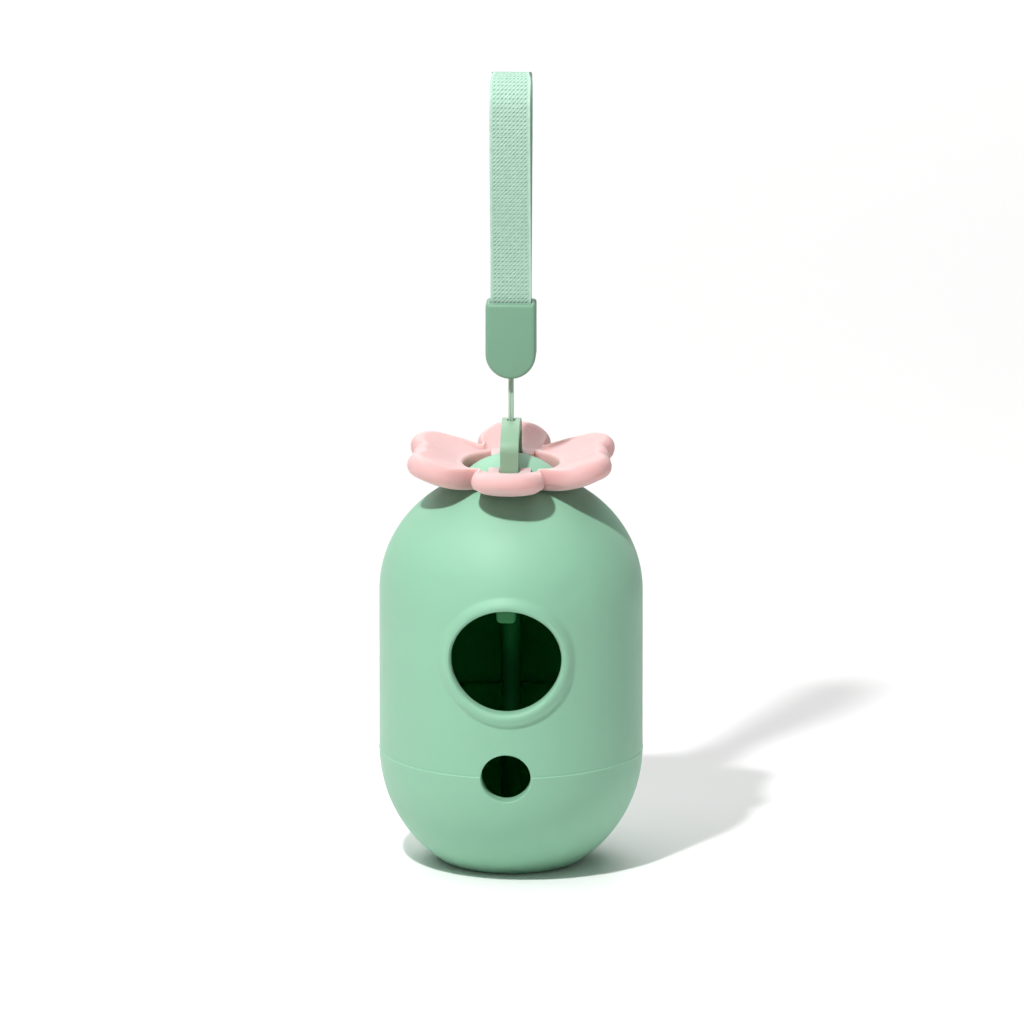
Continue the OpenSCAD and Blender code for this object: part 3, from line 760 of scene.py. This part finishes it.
def make_arch():
    catch, tip, barb, barb_h, point = 74.55, 71.95, 9.9, 0.65, LEG_OUT - 2.3 / 3
    outer = arch_half(LEG_OUT, ARCH_OUT, 3.0)
    outer += [(LEG_OUT, catch), (barb, catch), (barb, catch - barb_h), (point, tip), (LEG_IN, tip)]
    inner = arch_half(LEG_IN, ARCH_IN, 1.6)
    mirrored = [(-y, z) for y, z in outer[:0:-1]]
    loop = mirrored + outer + inner[:0:-1] + [(-y, z) for y, z in inner]
    arch = slab("arch", [(-ARCH_W / 2, y, z) for y, z in loop], (ARCH_W, 0, 0))
    cut(arch, rod("cord_hole", 0.9, (0, 0, 80), (0, 0, CLEAR_Z), 48))
    use(arch, "BEVEL", width=0.55 * MM, segments=4, limit_method="ANGLE", angle_limit=radians(50))
    dress(arch, "shell", "arch_plastic", arch_plastic)
    smooth(arch)
    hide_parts("hanging_bail")


# Cord
def strand(name, x, low, high, rows=40):
    """One strand of the cord, raised ring by ring from a circle, with four plies that wind round it."""
    r_out = STRAND_D / 2
    deselect()
    bpy.ops.mesh.primitive_circle_add(vertices=24, radius=r_out * MM, fill_type="NGON",
                                      location=v3(x, 0, low))
    obj = bpy.context.object
    obj.name = obj.data.name = name
    edit_all(obj, "FACE")
    for _ in range(rows):
        bpy.ops.mesh.extrude_region_move(TRANSFORM_OT_translate={"value": v3(0, 0, (high - low) / rows)})
    settle(obj)

    def twisted(px, py, pz):
        r, a = hypot(px - x, py), atan2(py, px - x)
        lay = 2 * pi * pz / TWIST_LAY
        r = min(r_out, r * (0.90 + 0.10 * abs(cos(2 * (a - lay)))))
        return x + r * cos(a), r * sin(a), pz

    edit_all(obj)
    place_chosen(obj, twisted)
    tidy_mesh(obj)
    return obj


def joined(name, pieces):
    """The pieces as one mesh."""
    deselect()
    for piece in pieces:
        piece.select_set(True)
    bpy.context.view_layer.objects.active = pieces[0]
    bpy.ops.object.join()
    pieces[0].name = pieces[0].data.name = name
    return pieces[0]


def make_cord():
    low_end, middle, top_end = 87.2, 93.4, 98.6
    pieces = []
    for name, low, high in (("cord_lower", low_end, middle), ("cord_upper", middle, top_end)):
        strands = [strand(name, side * STRAND_PITCH / 2, low, high) for side in (-1, 1)]
        cord = joined(name, strands)
        dress(cord, None, "cord", cord_finish)
        smooth(cord)
        pieces.append(cord)
    lower, upper = pieces
    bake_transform(lower)
    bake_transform(upper)
    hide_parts("strap_cord")


def make_knot():
    count, centre_z, wide, deep = 220, 85.2, 0.4, 0.62
    points = []
    for i in range(count):
        t = 2 * pi * i / count
        x, y = wide * (sin(t) + 2 * sin(2 * t)), wide * (cos(t) - 2 * cos(2 * t))
        points.append((x, y, centre_z - deep * sin(3 * t)))
    curve = bpy.data.curves.new("knot", "CURVE")
    curve.dimensions = "3D"
    curve.bevel_depth, curve.bevel_resolution = STRAND_D / 2 * MM, 4
    spline = curve.splines.new("POLY")
    spline.points.add(count - 1)
    for point, place in zip(spline.points, points):
        point.co = (*v3(*place), 1)
    spline.use_cyclic_u = True
    knot = bpy.data.objects.new("knot", curve)
    bpy.context.collection.objects.link(knot)
    pick(knot)
    bpy.ops.object.convert(target="MESH")
    knot = bpy.context.object
    dress(knot, "knot", "cord", cord_finish)
    smooth(knot, 60)
    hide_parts("cord_knot")


# Ferrule
def make_ferrule():
    half_d, face_edge, top_corner = FERRULE_D / 2, 1.0, 0.7
    pocket_x, pocket_y, pocket_z = 4.15, 2.0, 104.5
    corner_x, corner_z = FERRULE_R - top_corner, FERRULE_TOP - top_corner
    loop = arc(corner_x, corner_z, top_corner, 0, 90, 6) + arc(-corner_x, corner_z, top_corner, 90, 180, 6)
    loop += arc(0, FERRULE_Z + FERRULE_R, FERRULE_R, 180, 360, 48)
    ferrule = slab("ferrule_body", [(x, -half_d, z) for x, z in loop], (0, FERRULE_D, 0))
    use(ferrule, "BEVEL", width=face_edge * MM, segments=6, limit_method="ANGLE", angle_limit=radians(60))
    cut(ferrule, block("pocket", (-pocket_x, -pocket_y, pocket_z), (pocket_x, pocket_y, 120), 0.3))
    cut(ferrule, rod("cord_way", 0.6, (0, 0, 90), (0, 0, 106), 48))
    dress(ferrule, "strap", "ferrule_plastic", ferrule_plastic)
    smooth(ferrule)
    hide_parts("ferrule")


# Webbing
def loop_middle(u):
    """Middle line of the webbing's front half at the share u of its length, as (y, z)."""
    rise_share, rise = 0.8, TURN_Z - TAIL_Z
    tail_h = FERRULE_TOP - TAIL_Z
    if u < rise_share:
        t = u / rise_share
        s = max(0.0, (t * rise - tail_h) / (rise - tail_h))
        return TAIL_Y + (LOOP_HALF_D - TAIL_Y) * s * s * (3 - 2 * s), TAIL_Z + t * rise
    a = pi / 2 * (u - rise_share) / (1 - rise_share)
    return LOOP_HALF_D * cos(a), TURN_Z + LOOP_HALF_D * sin(a)


def loop_path(rows):
    """Points along the whole loop at equal steps, front tail first, and the loop's length."""
    steps = 2000
    fine = [loop_middle(i / steps) for i in range(steps + 1)]
    line = [(-y, z) for y, z in fine] + fine[:-1][::-1]
    lengths = [0.0]
    for p, q in zip(line, line[1:]):
        lengths.append(lengths[-1] + hypot(q[0] - p[0], q[1] - p[1]))
    path, k = [], 0
    for i in range(rows + 1):
        want = lengths[-1] * i / rows
        while k < len(line) - 2 and lengths[k + 1] < want:
            k += 1
        p, q = line[k], line[k + 1]
        f = (want - lengths[k]) / max(1e-9, lengths[k + 1] - lengths[k])
        path.append((p[0] + (q[0] - p[0]) * f, p[1] + (q[1] - p[1]) * f))
    return path, lengths[-1]


def make_webbing():
    columns, rows = 40, 560
    fold_h, draw_in = 1.1, 0.13
    path, total = loop_path(rows)
    deselect()
    bpy.ops.mesh.primitive_grid_add(x_subdivisions=columns, y_subdivisions=rows, size=1, calc_uvs=True)
    webbing = bpy.context.object
    webbing.name = webbing.data.name = "webbing"
    webbing.scale = (WEB_W * MM, total * MM, 1)
    settle(webbing)
    strap_map = webbing.data.uv_layers[0]
    strap_map.name = "strap_map"
    for corner in webbing.data.loops:
        x, y, _ = webbing.data.vertices[corner.vertex_index].co / MM
        strap_map.data[corner.index].uv = (x, y)
    edit_all(webbing)

    def wound(x, y, z):
        """The strip laid along the loop, its edges drawn in a little over the fold."""
        py, pz = path[min(rows, max(0, round((y / total + 0.5) * rows)))]
        fold = min(1.0, max(0.0, (pz - TURN_Z - LOOP_HALF_D + fold_h) / fold_h))
        return x * (1 - draw_in * (1 - sqrt(1 - fold * fold))), py, pz

    place_chosen(webbing, wound)
    deselect()
    use(webbing, "SOLIDIFY", thickness=WEB_T * MM, offset=0)
    tidy_mesh(webbing)
    dress(webbing, "strap", "webbing", webbing_finish)
    smooth(webbing)
    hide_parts("webbing_loop")


# Stage, light and camera
FLOOR_WHITE = (0.945, 0.945, 0.94)


def make_stage():
    floor_w, floor_y = 14000, 3000
    deselect()
    bpy.ops.mesh.primitive_plane_add(size=floor_w * MM, location=v3(0, floor_y, 0))
    floor = bpy.context.object
    floor.name = "floor"
    settle(floor)
    floor.data.materials.append(finish_of("floor_paper", FLOOR_WHITE, 0.9, 0.0)[0])


def lamp(name, place, towards, size, power, shape="SQUARE"):
    """A flat soft light, its places and its width in millimetres and its power in watts."""
    light = bpy.data.objects.new(name, bpy.data.lights.new(name, "AREA"))
    light.data.shape = shape
    light.data.size = size * MM
    light.data.energy = power
    light.location = v3(*place)
    light.rotation_euler = (v3(*towards) - v3(*place)).to_track_quat("-Z", "Y").to_euler()
    bpy.context.collection.objects.link(light)


def make_light():
    world = bpy.context.scene.world or bpy.data.worlds.new("studio")
    bpy.context.scene.world = world
    world.use_nodes = True
    back = world.node_tree.nodes["Background"]
    back.inputs["Color"].default_value = (1, 1, 1, 1)
    back.inputs["Strength"].default_value = 0.16
    # one small near light, front left and above, draws the shadows; two wide ones hang overhead and behind
    lamp("key", place=(-106, -234, 426), towards=(0, 0, 60), size=28, power=1.9, shape="DISK")
    lamp("overhead", place=(-420, 650, 1600), towards=(-420, 650, 0), size=2400, power=20.6)
    lamp("back", place=(-200, 1500, 1100), towards=(0, 100, 60), size=1200, power=13)


def make_camera():
    """A long lens from far away, turned and pitched as the photo was taken."""
    turn, pitch, distance = radians(2.4), radians(14.2), 8000.0
    px_per_mm, frame_px, film = 5.07, 1024, 36
    aside, target_z = 0.18, 70.34
    target = v3(aside * cos(turn), aside * sin(turn), target_z)
    forward = Vector((-sin(turn) * cos(pitch), cos(turn) * cos(pitch), -sin(pitch)))
    data = bpy.data.cameras.new("camera")
    data.sensor_width = film
    data.lens = film * distance / (frame_px / px_per_mm)
    data.clip_start, data.clip_end = 100 * MM, 50000 * MM
    camera = bpy.data.objects.new("camera", data)
    camera.location = target - forward * distance * MM
    camera.rotation_euler = forward.to_track_quat("-Z", "Y").to_euler()
    bpy.context.collection.objects.link(camera)
    bpy.context.scene.camera = camera


bpy.context.scene.view_settings.view_transform = "Standard"
make_camera()
make_stage()
make_light()
make_shell()
make_cap()
make_spindle()
make_flower()
make_arch()
make_cord()
make_knot()
make_ferrule()
make_webbing()

# the bight and the stitching keep the construction's shapes
for node, finish in (("cord_end", cord_finish), ("strap_stitching", thread)):
    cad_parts[node].data.materials.clear()
    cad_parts[node].data.materials.append(finish)

deselect()
